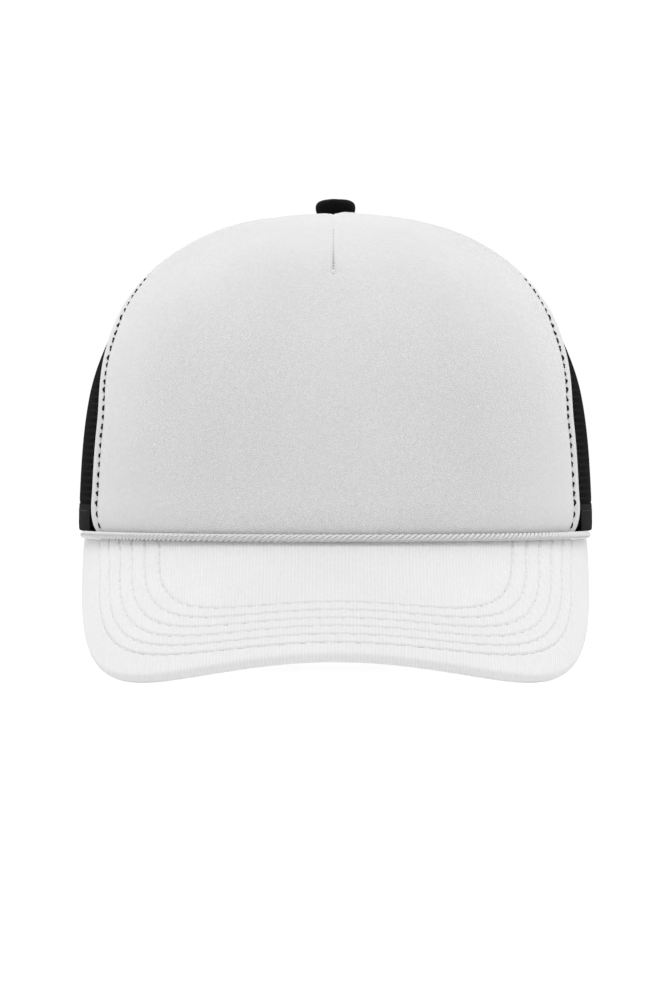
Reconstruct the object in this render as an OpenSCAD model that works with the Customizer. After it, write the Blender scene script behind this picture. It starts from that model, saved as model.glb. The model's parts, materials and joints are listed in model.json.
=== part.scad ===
// Trucker cap: a foam-backed front panel, four mesh panels, a curved visor, a twisted cord
// over the visor seam, a covered top button and a snap closure across a rear arch.
// X runs to the wearer's left, -Y to the front and +Z up. The origin is the centre of the
// head opening, on the plane of the crown's lower edge. Angles round the crown are
// measured from the front, positive towards +X.

/* [Crown] */
// Outside width over the ears
crown_w = 172; // [162:1:182]
// Length from the origin to the front of the crown
front_len = 103; // [97:1:109]
// Length from the origin to the back of the crown
rear_len = 100; // [96:1:105]
// Height of the crown over its lower edge
crown_h = 106; // [98:1:116]
// Height of the upright band along the lower edge
band_h = 9; // [8:0.5:10]
// Squareness of the crown's profile going up, where 2 is an ellipse
profile_up = 3; // [2.6:0.1:3.4]
// Squareness of the crown's profile going across, where 2 is an ellipse
profile_across = 2.45; // [2.2:0.05:2.8]
// Share of its width that the crown loses by leaning inwards
lean = 0.05; // [0.02:0.01:0.08]
// Squareness of the rear half of the outline, where 2 is an ellipse
rear_square = 2.3; // [2.1:0.1:2.5]
// Radius of the eyelet hole under the button
eyelet_r = 4; // [3.5:0.1:4.5]

/* [Panels] */
// Angle of the seam between the front panel and the side mesh, at the lower edge
front_seam = 69.5; // [66:0.5:72]
// Angle that this seam moves back by, halfway up
seam_lean = 8.5; // [0:0.5:12]
// Angle that it moves back by again, near the button
seam_top_lean = 13; // [0:1:14]
// Angle of the seam between the side mesh and the back mesh
rear_seam = 121; // [116:1:126]
// Thickness of the front panel's outer fabric
fabric_t = 0.6; // [0.4:0.1:0.7]
// Thickness of the front panel's foam
foam_t = 2.5; // [2:0.1:2.6]
// Thickness of the mesh
mesh_t = 0.9; // [0.7:0.1:0.9]
// Width of the tapes that cover the seams inside
tape_w = 12; // [9:1:13]
// Thickness of the seam tapes
tape_t = 0.6; // [0.4:0.1:0.7]
// Height that the sewn dart drops down the front from the top of the crown
dart_drop = 20; // [14:1:26]

/* [Lower edge] */
// Height of the sweatband
sweatband_h = 30; // [26:1:34]
// Thickness of the sweatband
sweatband_t = 0.8; // [0.6:0.1:1]
// Thickness of the padding behind the front of the sweatband
padding_t = 1; // [0.8:0.1:1.1]
// Width of the binding round the rear arch
binding_w = 6; // [5:0.5:7]
// Thickness of the folded binding fabric
binding_t = 0.6; // [0.4:0.1:0.7]
// Thickness of the cord over the visor seam
cord_d = 2.4; // [2:0.1:3]

/* [Rear arch] */
// Width of the arch at the lower edge
arch_w = 82; // [80:0.5:84]
// Height of the arch
arch_h = 48; // [42:1:54]
// Squareness of the arch, where 2 is an ellipse
arch_square = 2.6; // [2.4:0.1:2.8]

/* [Visor] */
// Width of the visor
visor_w = 165.5; // [156:0.5:167]
// Length of the visor in front of the crown
visor_len = 66; // [60:1:72]
// Slope of the visor below level
visor_tilt = 30; // [26:0.5:34]
// Squareness of the visor's outer edge across the visor, where 2 is an ellipse
visor_square = 3.7; // [3:0.1:4.2]
// Squareness of the same edge along the visor, where less than 2 tapers its sides
visor_taper = 1.4; // [1.2:0.1:1.8]
// How far the visor starts below the crown's lower edge, which leaves room for the cord
visor_drop = 2.6; // [2.6:0.1:3.4]
// Thickness of the stiff board inside the visor
board_t = 1.8; // [1.4:0.1:2.2]
// Number of stitch rows on the visor
visor_rows = 6; // [2:1:7]
// Distance between the stitch rows
row_pitch = 4.7; // [4:0.1:5]
// Distance from the visor's edge to the outermost stitch row
first_row = 10.5; // [8:0.1:14]

/* [Button] */
// Diameter of the button
button_d = 13.4; // [12:0.2:16]
// Height of the button
button_h = 4.9; // [4.4:0.1:7]

/* [Snap closure] */
// Height of the straps
strap_h = 17; // [15:1:19]
// Thickness of the straps
strap_t = 1.2; // [1:0.1:1.3]
// Number of pegs, and of holes
strap_count = 7; // [5:1:7]
// Angle between neighbouring pegs
strap_step = 4.9; // [4.7:0.1:5]
// Radius of the holes
hole_r = 2.3; // [2.2:0.05:2.5]
// Radius of a peg at its foot
peg_r = 2.05; // [1.9:0.05:2.05]

/* [Care label] */
// Width of the label
label_w = 30; // [20:1:32]
// Height of the label
label_h = 18; // [12:1:20]
// Angle of the label round the crown
label_angle = 137; // [134:1:140]

/* [Hidden] */
$fn = 48;

half_w = crown_w / 2;
dome_h = crown_h - band_h;
deg = 180 / PI;

// Gap left between layers that touch on the real cap
gap = 0.2;
// Gap between a folded binding and the mesh inside it
fold_gap = 0.35;
// Smallest height at which the panels start
panel_foot = 1;
// Depths below the crown's outer surface at which each layer starts
foam_d = fabric_t + gap;
tape_d = 1.4;
padding_d = foam_d + foam_t + gap;
binding_out = fold_gap + binding_t;
binding_in = mesh_t + fold_gap + binding_t;
// Seam allowances, as angles
seam_gap = 0.3;
// Clear distance between the cut edge of the foam and the seam tape
foam_clear = 1.1;
// Largest half angle of a seam tape, which narrows it where the seams meet at the button
tape_fan = 12;

// Sewing thread
thread_w = 0.7;
thread_t = 0.35;
thread_d = 0.15;

// The visor's board and fabric
visor_fabric_t = 0.6;
visor_thread_d = 0.3;
// Radius at which the visor's cross section is laid out flat
visor_spread = 72;
visor_half = visor_spread * asin(visor_w / crown_w) / deg;
// Where the visor's edge stops curving, measured along the visor from the crown's front
visor_turn = -30;
// Clear distance between the crown and the visor
visor_start = 0.6;

// The closure's straps are arcs about a common centre
strap_cy = 5;
strap_z = 1.5;
strap_top = strap_z + strap_h;
// Gap between the two straps where they lie one on the other
strap_gap = 0.3;
hinge_bead_r = 0.8;
// Distance along the strap from the arch's edge to the middle of the hinge bead
hinge_clear = hinge_bead_r + 0.35;
peg_len = 2.1;
peg_tip_r = 1.5;
// Spare pegs and holes left over at each side when the closure is snapped
strap_spare = 2;

// ---------------------------------------------------------------- crown surface

function spow(v, e) = sign(v) * pow(abs(v), e);
function unit(v) = v / norm(v);
function squareness(a) = cos(a) < 0 ? rear_square : 2;
function half_len(a) = cos(a) < 0 ? rear_len : front_len;

// Point of the crown's outline on the lower edge
function rim(a) = [
    half_w * spow(sin(a), 2 / squareness(a)),
    -half_len(a) * spow(cos(a), 2 / squareness(a))
];

// Share of the dome's height reached at z, and the outline's size and its slope there
function rise(z) = max(0, (z - band_h) / dome_h);
function shrink(z) = pow(1 - pow(rise(z), profile_up), 1 / profile_across) * (1 - lean * rise(z));
function shrink_slope(z) =
    let (u = rise(z), body = 1 - pow(u, profile_up))
    u <= 0 ? 0 : -(
        profile_up / profile_across * pow(u, profile_up - 1)
        * pow(body, 1 / profile_across - 1) * (1 - lean * u)
        + lean * pow(body, 1 / profile_across)
    ) / dome_h;

function crown_normal(a, z) =
    let (r = rim(a), t = rim(a + 0.05) - rim(a - 0.05), k = shrink_slope(z))
    unit(cross([t.x, t.y, 0], [k * r.x, k * r.y, 1]));

// Point of the crown at angle a and height z, d outside its outer surface
function crown(a, z, d = 0) =
    let (r = rim(a) * shrink(z))
    [r.x, r.y, z] + d * crown_normal(a, z);

function rim_offset(a, d) =
    let (n = crown_normal(a, 0))
    rim(a) + d * [n.x, n.y];

// Height at which the crown's half width has shrunk to r
function height_at(r) =
    band_h + dome_h * pow(1 - pow(r / half_w / (1 - lean), profile_across), 1 / profile_up);

// Rows are spaced evenly along the profile: share of the way up, and its inverse
function row_height(w) = band_h + dome_h * pow(sin(90 * pow(w, 1.5)), 2 / profile_up);
function row_share(z) = pow(asin(pow(rise(z), profile_up / 2)) / 90, 2 / 3);

function ease(t) = let (s = max(0, min(1, t))) s * s * (3 - 2 * s);

// Angle that the front seam has moved back by at height z
function seam_back(z) = seam_lean * ease((z - 35) / 35) + seam_top_lean * ease((z - 74) / 20);

// Angle a moved back with the front seam: in full at the seam, not at all at the front's
// middle or at the rear seam
function with_seam(a, z) =
    let (t = abs(a), near = t < front_seam ? t / front_seam : (rear_seam - t) / (rear_seam - front_seam))
    a + sign(a) * seam_back(z) * max(0, near);

// One column of a panel from z0 to z1: a foot row, then rows evenly up the profile
function column(a, z0, z1, rows) =
    let (zb = max(z0 + 1.5, band_h), w0 = row_share(zb), w1 = row_share(z1))
    [for (z = concat([z0], [for (k = [0 : rows]) row_height(w0 + (w1 - w0) * k / rows)]))
        [with_seam(a, z), z]];

// Angle of the rear wall's point at x and height z
function rear_angle(x, z) =
    180 - sign(x) * asin(pow(abs(x) / (half_w * shrink(z)), rear_square / 2));

// Distance that the wall has leant in by height z
function lean_at(z) = rear_len * (1 - shrink(z));

panel_top = height_at(eyelet_r);
panel_rows = 12;

// ---------------------------------------------------------------- mesh helpers

function joined(g) = [for (c = g) for (p = c) p];

// Closed sheet between two grids of points, both given as [column][row]
module slab(outer, inner) {
    nc = len(outer);
    nr = len(outer[0]);
    n = nc * nr;
    out_skin = [for (i = [0 : nc - 2], j = [0 : nr - 2])
        let (p = i * nr + j, q = p + nr)
        each [[p, p + 1, q], [q, p + 1, q + 1]]];
    in_skin = [for (f = out_skin) [f[0] + n, f[2] + n, f[1] + n]];
    low = [for (i = [0 : nc - 2])
        let (p = i * nr, q = p + nr)
        each [[p, q, q + n], [p, q + n, p + n]]];
    high = [for (i = [0 : nc - 2])
        let (p = i * nr + nr - 1, q = p + nr)
        each [[q, p, p + n], [q, p + n, q + n]]];
    first = [for (j = [0 : nr - 2])
        each [[j + 1, j, j + n], [j + 1, j + n, j + 1 + n]]];
    last = [for (j = [0 : nr - 2])
        let (p = (nc - 1) * nr + j)
        each [[p, p + 1, p + 1 + n], [p, p + 1 + n, p + n]]];
    polyhedron(
        points = concat(joined(outer), joined(inner)),
        faces = concat(out_skin, in_skin, low, high, first, last),
        convexity = 6
    );
}

// Closed bar through a list of rings with the same number of points
module bar(rings, caps = []) {
    n = len(rings[0]);
    last = (len(rings) - 1) * n;
    sides = [for (k = [0 : len(rings) - 2], i = [0 : n - 1])
        let (p = k * n + i, q = k * n + (i + 1) % n)
        each [[p, p + n, q], [q, p + n, q + n]]];
    plain = [[for (i = [0 : n - 1]) i]];
    start = len(caps) == 0 ? plain : caps;
    end = [for (f = start) [for (i = [len(f) - 1 : -1 : 0]) f[i] + last]];
    polyhedron(points = joined(rings), faces = concat(start, sides, end), convexity = 6);
}

// Direction of travel at station k of a path
function heading(path, k) =
    unit(path[min(k + 1, len(path) - 1)] - path[max(k - 1, 0)]);

// Thread w wide and t thick lying on a surface along a path, with the surface's normals
module thread(path, normals, w = thread_w, t = thread_t) {
    bar([for (k = [0 : len(path) - 1])
        let (n = normals[k], s = unit(cross(n, heading(path, k))) * w / 2)
        [path[k] - s, path[k] + s, path[k] + s + n * t, path[k] - s + n * t]]);
}

// Thread on the crown through a list of [angle, height]
module crown_thread(points, d) {
    thread([for (p = points) crown(p[0], p[1], d)], [for (p = points) crown_normal(p[0], p[1])]);
}

// Sheet on the crown between depths d0 and d1, through a grid of [angle, height]
module crown_sheet(grid, d0, d1) {
    slab(
        [for (c = grid) [for (p = c) crown(p[0], p[1], -d0)]],
        [for (c = grid) [for (p = c) crown(p[0], p[1], -d1)]]
    );
}

// Flat outline of a strip of the lower wall, between angles a0 and a1
module rim_strip(a0, a1, d0, d1, step = 2.5) {
    n = ceil((a1 - a0) / step);
    angles = [for (k = [0 : n]) a0 + (a1 - a0) * k / n];
    polygon(concat(
        [for (a = angles) rim_offset(a, d0)],
        [for (k = [n : -1 : 0]) rim_offset(angles[k], d1)]
    ));
}

module right() mirror([1, 0, 0]) children();

// ---------------------------------------------------------------- front panel

// Angle, at height z, that spans a width of w along the wall
function width_angle(w, z, limit) = min(limit, w / (half_w * shrink(z)) * deg);

module front_panel_fabric() color("whitesmoke") {
    n = 28;
    a = front_seam - seam_gap;
    crown_sheet([for (k = [0 : n]) column((2 * k / n - 1) * a, gap, panel_top, panel_rows)],
        0, fabric_t);
}

// The foam stops short of the seam tapes
module front_panel_foam() color("white") {
    n = 28;
    crown_sheet(
        [for (k = [0 : n]) [for (p = column(0, panel_foot, panel_top, panel_rows))
            [(2 * k / n - 1)
                * (with_seam(front_seam, p[1]) - width_angle(tape_w / 2 + foam_clear, p[1], 31)),
             p[1]]]],
        foam_d, foam_d + foam_t);
}

// The dart's seam, from the button down the middle of the front
module dart_stitching() color("gainsboro") {
    z1 = height_at(button_d / 2 + 2);
    crown_thread(column(0, crown_h - dart_drop, z1, 10), thread_d);
}

module panel_stitching() color("black") {
    seam_to_thread = 3.2;
    top = height_at(14);
    crown_thread([for (p = column(front_seam, gap * 2, top, 22))
        [p[0] - width_angle(seam_to_thread, p[1], 20), p[1]]], thread_d);
}

// ---------------------------------------------------------------- mesh panels

module side_mesh() color([0.12, 0.12, 0.12]) {
    n = 10;
    a0 = front_seam + seam_gap;
    a1 = rear_seam - seam_gap;
    crown_sheet([for (k = [0 : n]) column(a0 + (a1 - a0) * k / n, panel_foot, panel_top, panel_rows)],
        0, mesh_t);
}

// Point of the arch's edge at t round it, moved out by d: [x, z]
function arch_point(t, d = 0) = [
    (arch_w / 2 + d) * spow(cos(t), 2 / arch_square),
    (arch_h + d) * pow(sin(t), 2 / arch_square)
];

// The same point as an angle round the crown and a height
function arch_spot(t, d = 0) =
    let (p = arch_point(t, d))
    [p.x == 0 ? 180 : rear_angle(p.x, p[1]), p[1]];

module back_mesh() color([0.12, 0.12, 0.12]) {
    // The mesh's edge runs inside the fold of the arch binding
    inset = binding_t + 2 * fold_gap;
    n = 5;
    a0 = rear_seam + seam_gap;
    a1 = rear_angle(arch_w / 2 + inset, 0);
    beside = [for (k = [0 : n]) [a0 + (a1 - a0) * k / n, panel_foot]];
    above = [for (t = [9, 18, 28, 40, 52, 62, 71, 79, 85, 90]) arch_spot(t, inset)];
    crown_sheet([for (p = concat(beside, above))
        column(min(p[0], 180 - seam_gap), p[1], panel_top, 10)], 0, mesh_t);
}

// ---------------------------------------------------------------- seam tapes

// Tape inside the crown along the seam at angle a, from height z0 up to the button
module seam_tape(a, z0) color([0.1, 0.1, 0.1])
    crown_sheet([for (side = [-1, 0, 1]) [for (p = column(a, z0, height_at(eyelet_r + 2), panel_rows))
        [p[0] + side * width_angle(tape_w / 2, p[1], tape_fan), p[1]]]],
        tape_d, tape_d + tape_t);

// Two rows of stitching, one each side of the mesh seam at angle a, that hold its tape
module tape_stitching(a, z0) color("black")
    for (side = [-1, 1])
        crown_thread([for (p = column(a, z0, height_at(16), 16))
            [p[0] + side * width_angle(tape_w / 2 - 2, p[1], 20), p[1]]], thread_d);

// ---------------------------------------------------------------- lower edge

// The straps' sewn ends lie one behind the other between the wall and the sweatband
hole_tab_d = binding_in + gap + lean_at(strap_top);
peg_tab_d = hole_tab_d + strap_t + strap_gap;
sweatband_d = peg_tab_d + strap_t + gap;
sweatband_end = rear_angle(arch_w / 2 + 3, 0);

module sweatband() color([0.1, 0.1, 0.1]) {
    n = 56;
    a = sweatband_end;
    crown_sheet([for (k = [0 : n]) column(-a + 2 * a * k / n, 1.5, sweatband_h, 3)],
        sweatband_d, sweatband_d + sweatband_t);
}

module sweatband_padding() color("lightgray") {
    n = 24;
    a = 60;
    crown_sheet([for (k = [0 : n]) column(-a + 2 * a * k / n, 3, sweatband_h - 4, 3)],
        padding_d, padding_d + padding_t);
}

// Folded tape over the mesh's lower edge: an upright channel, open at the top
module hem_binding() color([0.1, 0.1, 0.1]) {
    a0 = front_seam + 6;
    a1 = rear_angle(arch_w / 2 + binding_w + gap * 2, 0);
    difference() {
        linear_extrude(band_h) rim_strip(a0, a1, binding_out, -binding_in);
        translate([0, 0, panel_foot - gap])
            linear_extrude(band_h) rim_strip(a0 - 1, a1 + 1, fold_gap, -mesh_t - fold_gap);
    }
}

module hem_stitching() color("black") {
    a0 = front_seam + 6.5;
    a1 = rear_angle(arch_w / 2 + binding_w + 1, 0);
    d = binding_out + thread_d;
    translate([0, 0, band_h - 2.5])
        linear_extrude(thread_w) rim_strip(a0, a1, d + thread_t, d);
}

// Folded tape round the arch, with the mesh's edge in its fold
module arch_binding() color([0.1, 0.1, 0.1]) {
    ring_caps = [[0, 1, 2, 3], [0, 3, 4, 7], [4, 5, 6, 7]];
    bar([for (k = [0 : 36])
        let (
            t = 180 * (1 - cos(180 * k / 36)) / 2,
            edge = arch_spot(t),
            web = arch_spot(t, binding_t),
            lip = arch_spot(t, binding_w)
        )
        [
            crown(edge[0], edge[1], binding_out), crown(lip[0], lip[1], binding_out),
            crown(lip[0], lip[1], fold_gap), crown(web[0], web[1], fold_gap),
            crown(web[0], web[1], -mesh_t - fold_gap), crown(lip[0], lip[1], -mesh_t - fold_gap),
            crown(lip[0], lip[1], -binding_in), crown(edge[0], edge[1], -binding_in)
        ]], ring_caps);
}

// Twisted cord in the corner between the front panel and the visor
module front_cord() color("white") {
    n = 48;
    a = front_seam + 5;
    sides = 8;
    r = cord_d / 2;
    path = [for (k = [0 : n])
        let (p = rim_offset(-a + 2 * a * k / n, r)) [p.x, p.y, -r - gap]];
    bar([for (k = [0 : n])
        let (t = heading(path, k), s = cross([0, 0, 1], t))
        [for (i = [0 : sides - 1])
            path[k] + r * (cos(360 * i / sides) * s + sin(360 * i / sides) * [0, 0, 1])]]);
}

// ---------------------------------------------------------------- visor

// The visor is a sheet of straight lines that leave the crown's outline sloping forward
// and down. q is the distance across it, laid out flat, and v runs along the lines from
// the crown's foremost point.
function root_angle(q) = q / visor_spread * deg;
function root_v(q) = -front_len * (1 - cos(root_angle(q))) * cos(visor_tilt);

function visor_normal(q) =
    let (b = root_angle(q), across = [half_w * cos(b), front_len * sin(b), 0])
    -unit(cross(across, [0, -cos(visor_tilt), -sin(visor_tilt)]));

function visor(q, v, d = 0) =
    let (b = root_angle(q), t = v - root_v(q))
    [half_w * sin(b), -front_len * cos(b) - t * cos(visor_tilt), -visor_drop - t * sin(visor_tilt)]
    + d * visor_normal(q);

// Distance along the visor of the edge at q, drawn in by inset
function edge_v(q, inset) =
    visor_turn + (visor_len - visor_turn - inset)
    * pow(max(0, 1 - pow(abs(q) / (visor_half - inset), visor_square)), 1 / visor_taper);

// Layer of the visor between depths d0 and d1
module visor_layer(d0, d1, inset) {
    n = 32;
    rows = 7;
    across = [for (k = [0 : n]) (visor_half - inset) * sin(90 - 180 * k / n)];
    spots = [for (q = across)
        let (v0 = root_v(q) + visor_start, v1 = edge_v(q, inset))
        [for (j = [0 : rows]) [q, v0 + (v1 - v0) * j / rows]]];
    slab(
        [for (c = spots) [for (p = c) visor(p[0], p[1], -d0)]],
        [for (c = spots) [for (p = c) visor(p[0], p[1], -d1)]]
    );
}

board_d = visor_fabric_t + gap;
under_d = board_d + board_t + gap;

module visor_top_fabric() color("whitesmoke") visor_layer(0, visor_fabric_t, 0);
module visor_board() color("silver") visor_layer(board_d, board_d + board_t, 1);
module visor_bottom_fabric() color("whitesmoke") visor_layer(under_d, under_d + visor_fabric_t, 0);

// One stitch row: up one side, round the front and back down the other side
module visor_row(inset) {
    root_clear = cord_d + 1;
    round_steps = 34;
    q1 = visor_half - inset;
    v0 = root_v(q1) + root_clear;
    side = v0 < visor_turn - 1 ? 5 : 0;
    flank = [for (j = [0 : 1 : side - 1]) [q1, v0 + (visor_turn - v0) * j / side]];
    nose = [for (k = [0 : round_steps])
        let (q = q1 * sin(90 - 180 * k / round_steps), v = edge_v(q, inset))
        if (v >= root_v(q) + root_clear) [q, v]];
    back = [for (j = [side - 1 : -1 : 0]) [-q1, v0 + (visor_turn - v0) * j / side]];
    spots = concat(flank, nose, back);
    thread([for (p = spots) visor(p[0], p[1], visor_thread_d)], [for (p = spots) visor_normal(p[0])]);
}

module visor_stitching() color("white")
    for (k = [0 : visor_rows - 1]) visor_row(first_row + k * row_pitch);

// ---------------------------------------------------------------- button

// Half profile of a low dome of radius r and height h
function dome(r, h, steps = 12, square = 2.5) =
    [for (k = [0 : steps]) let (u = 90 * k / steps)
        [r * pow(cos(u), 2 / square), h * pow(sin(u), 2 / square)]];

// Hollow dome, open underneath
module dome_shell(r, h, t) {
    inner = dome(r - t, h - t);
    rotate_extrude() polygon(concat(dome(r, h), [for (k = [len(inner) - 1 : -1 : 0]) inner[k]]));
}

button_z = crown_h + 0.25;
cover_t = 0.5;
shell_t = 0.5;
post_r = 1.3;
// The washer lies under the foam
washer_z = crown_h - padding_d - 1;
washer_t = 0.6;

module button_cover() color([0.1, 0.1, 0.1])
    translate([0, 0, button_z]) dome_shell(button_d / 2, button_h, cover_t);

module button_shell() color("silver")
    translate([0, 0, button_z])
        dome_shell(button_d / 2 - cover_t - 0.1, button_h - cover_t - 0.1, shell_t);

// Rivet: a flat head inside the shell, a shank through the crown and a flared foot
module button_post() color("silver") {
    foot_z = washer_z - washer_t - 0.6;
    translate([0, 0, button_z + 1]) cylinder(r = button_d / 4, h = 0.6);
    translate([0, 0, foot_z]) cylinder(r = post_r, h = button_z + 1.3 - foot_z);
    translate([0, 0, foot_z]) cylinder(r = post_r + 1.1, h = 0.5);
}

module button_washer() color("silver")
    translate([0, 0, washer_z - washer_t]) difference() {
        cylinder(r = 6, h = washer_t);
        translate([0, 0, -1]) cylinder(r = post_r + 0.1, h = washer_t + 2);
    }

// ---------------------------------------------------------------- snap closure

// The arch's edge at the straps' top, where it is narrowest, as [x, z]
arch_at_strap = [arch_w / 2 * pow(1 - pow(strap_top / arch_h, arch_square), 1 / arch_square), strap_top];

// Where the middle of a strap, t thick and d under the wall, meets the arch's edge
function strap_end(d) =
    let (r = rim(rear_angle(arch_at_strap[0], 0)), n = crown_normal(rear_angle(arch_at_strap[0], 0), 0))
    [r.x, r.y - strap_cy] - (d + strap_t / 2) * [n.x, n.y];
function strap_radius(d) = norm(strap_end(d)) - strap_t / 2;
function strap_hinge(d) =
    atan2(strap_end(d).x, strap_end(d).y) - hinge_clear / norm(strap_end(d)) * deg;

hole_strap_r = strap_radius(hole_tab_d);
peg_strap_r = hole_strap_r - strap_gap - strap_t;

module about_strap_centre() translate([0, strap_cy, 0]) children();

// Places children on the closure's arc at angle u from the back, with +Z pointing out
module at_strap(u, z) about_strap_centre() translate([0, 0, z]) rotate([0, 0, -u])
    rotate([-90, 0, 0]) children();

// Arc of strap from angle u0 to u1, where positive is towards +X
module strap_arc(r, u0, u1) about_strap_centre() translate([0, 0, strap_z])
    rotate([0, 0, 90 - u1]) rotate_extrude(angle = u1 - u0, $fn = 128)
        translate([r, 0]) square([strap_t, strap_h]);

// Upright block that rounds off a strap's tip at x, on the side away from its hinge
module tip_mask(x) {
    corner = 5;
    reach = 90;
    translate([0, 200, strap_z]) rotate([90, 0, 0]) linear_extrude(200) {
        translate([x + corner, 0]) square([reach, strap_h]);
        translate([x, corner]) square([reach, strap_h - 2 * corner]);
        for (z = [corner, strap_h - corner]) translate([x + corner, z]) circle(corner);
    }
}

// Angles of the pegs, and of the holes, counted from the tip of each strap
function strap_spot(k) = (k - strap_count + 1 + strap_spare + (strap_count - 1 - 2 * strap_spare) / 2)
    * strap_step;
strap_tip = strap_spot(strap_count - 1) + 3.2;
strap_mid_z = strap_z + strap_h / 2;

// Strap on the +X side from its hinge bead at angle u to its rounded tip
module plain_strap(r, u) {
    intersection() {
        strap_arc(r, -strap_tip - 1, u);
        tip_mask((r + strap_t / 2) * sin(-strap_tip));
    }
    about_strap_centre() rotate([0, 0, -u]) translate([0, r + strap_t / 2, strap_z])
        cylinder(r = hinge_bead_r, h = strap_h);
}

module hole_strap() color([0.08, 0.08, 0.08]) difference() {
    plain_strap(hole_strap_r, strap_hinge(hole_tab_d));
    for (k = [0 : strap_count - 1])
        at_strap(-strap_spot(k), strap_mid_z)
            translate([0, 0, hole_strap_r - 1]) cylinder(r = hole_r, h = strap_t + 2);
}

module peg_strap() color([0.08, 0.08, 0.08]) right() {
    plain_strap(peg_strap_r, strap_hinge(peg_tab_d));
    for (k = [0 : strap_count - 1])
        at_strap(-strap_spot(k), strap_mid_z)
            translate([0, 0, peg_strap_r + strap_t / 2])
                cylinder(r1 = peg_r, r2 = peg_tip_r, h = strap_t / 2 + peg_len);
}

// Sewn end of a strap between the wall and the sweatband, at depth d
module strap_tab(d) color([0.08, 0.08, 0.08])
    translate([0, 0, strap_z]) linear_extrude(strap_h)
        rim_strip(rear_angle(arch_w / 2 + 12, 0), rear_angle(arch_at_strap[0], 0), -d, -d - strap_t, 1.5);

// Two dense upright bars of stitching that hold a strap's sewn end
module strap_tack() color("black") {
    d = binding_out + thread_d;
    tack_w = 1.2;
    for (x = [arch_w / 2 + 1.8, arch_w / 2 + 4.3])
        translate([0, 0, strap_z + 1.5]) linear_extrude(strap_h - 3)
            rim_strip(rear_angle(x + tack_w / 2, 0), rear_angle(x - tack_w / 2, 0), d + thread_t, d);
}

// ---------------------------------------------------------------- care label

module care_label() color("white") {
    label_t = 0.4;
    foot_z = 4;
    n = crown_normal(label_angle, 0);
    // A flat label stands off the curved sweatband at its middle
    bow = label_w * label_w / (8 * (half_w - 20));
    off = sweatband_d + sweatband_t + gap + bow + lean_at(foot_z + label_h) + label_t;
    p = rim_offset(label_angle, -off);
    translate([p.x, p.y, foot_z]) rotate([0, 0, atan2(n.y, n.x)]) {
        translate([0, -label_w / 2, 0]) cube([label_t, label_w, label_h]);
        // The sewn edge is rolled, and the label turns about it
        translate([label_t / 2, label_w / 2, 0]) rotate([90, 0, 0])
            cylinder(r = label_t, h = label_w);
    }
}

// ---------------------------------------------------------------- assembly

front_panel_fabric();
front_panel_foam();
side_mesh();  // side_mesh_left
right() side_mesh();  // side_mesh_right
back_mesh();  // back_mesh_left
right() back_mesh();  // back_mesh_right
seam_tape(front_seam, band_h + 1);  // seam_tape_front_left
right() seam_tape(front_seam, band_h + 1);  // seam_tape_front_right
seam_tape(rear_seam, band_h + 1);  // seam_tape_rear_left
right() seam_tape(rear_seam, band_h + 1);  // seam_tape_rear_right
seam_tape(180, arch_h + binding_w + 2);  // seam_tape_center_back
sweatband();
sweatband_padding();
hem_binding();  // hem_binding_left
right() hem_binding();  // hem_binding_right
arch_binding();
visor_board();
visor_top_fabric();
visor_bottom_fabric();
visor_stitching();
front_cord();
button_cover();
button_shell();
button_post();
button_washer();
hole_strap();
strap_tab(hole_tab_d);  // hole_strap_tab
peg_strap();
right() strap_tab(peg_tab_d);  // peg_strap_tab
strap_tack();  // strap_tack_left
right() strap_tack();  // strap_tack_right
care_label();
panel_stitching();  // panel_stitching_left
right() panel_stitching();  // panel_stitching_right
tape_stitching(rear_seam, band_h + 1);  // rear_stitching_left
right() tape_stitching(rear_seam, band_h + 1);  // rear_stitching_right
tape_stitching(180, arch_h + binding_w + 1);  // center_back_stitching
hem_stitching();  // hem_stitching_left
right() hem_stitching();  // hem_stitching_right
dart_stitching();
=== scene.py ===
"""Looks of the trucker cap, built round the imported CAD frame.

Shapes are worked out in millimetres and turned into metres when a piece is made. Angles go round
the crown from the front, positive towards +X. Depths are measured out from the crown's surface.
"""

import json
import math

import bpy
import numpy as np
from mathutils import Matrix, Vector
from mathutils.geometry import delaunay_2d_cdt


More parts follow.
